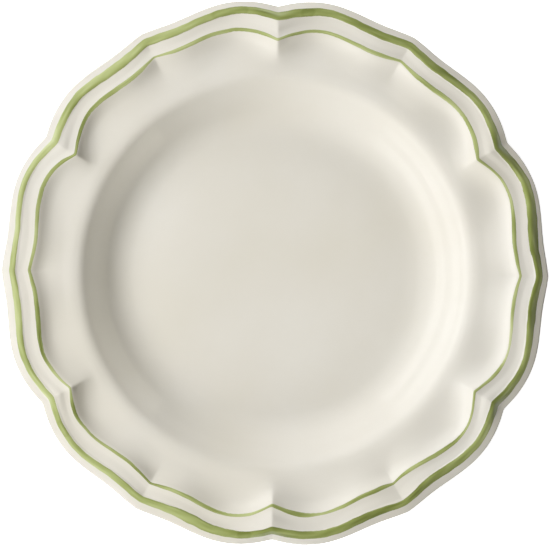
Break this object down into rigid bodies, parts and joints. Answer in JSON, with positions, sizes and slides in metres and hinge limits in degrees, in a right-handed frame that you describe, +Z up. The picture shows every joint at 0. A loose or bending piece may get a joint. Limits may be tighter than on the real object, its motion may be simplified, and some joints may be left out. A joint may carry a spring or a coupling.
{
  "type": "dinner plate",
  "caption": "Scalloped dinner plate with a rounded well, a moulded rim, a wide painted rim band and a thin painted inner line, standing on a foot ring.",
  "frame": {"origin": "middle of the plane that the foot ring stands on, under the middle of the plate", "axes": "+Z up through the middle of the plate, towards the well; +X through one of the rim's outward points; +Y through one of its inward notches"},
  "size_m": [0.2638, 0.2618, 0.0274],
  "materials": {
    "cream_glaze": "glossy, warm cream lead-type glaze over earthenware",
    "green_enamel": "glossy, brushed on by hand, slightly translucent"
  },
  "bodies": {
    "root": {"plate_body": "cream_glaze", "rim_band": "green_enamel", "inner_line": "green_enamel"}
  },
  "joints": []
}
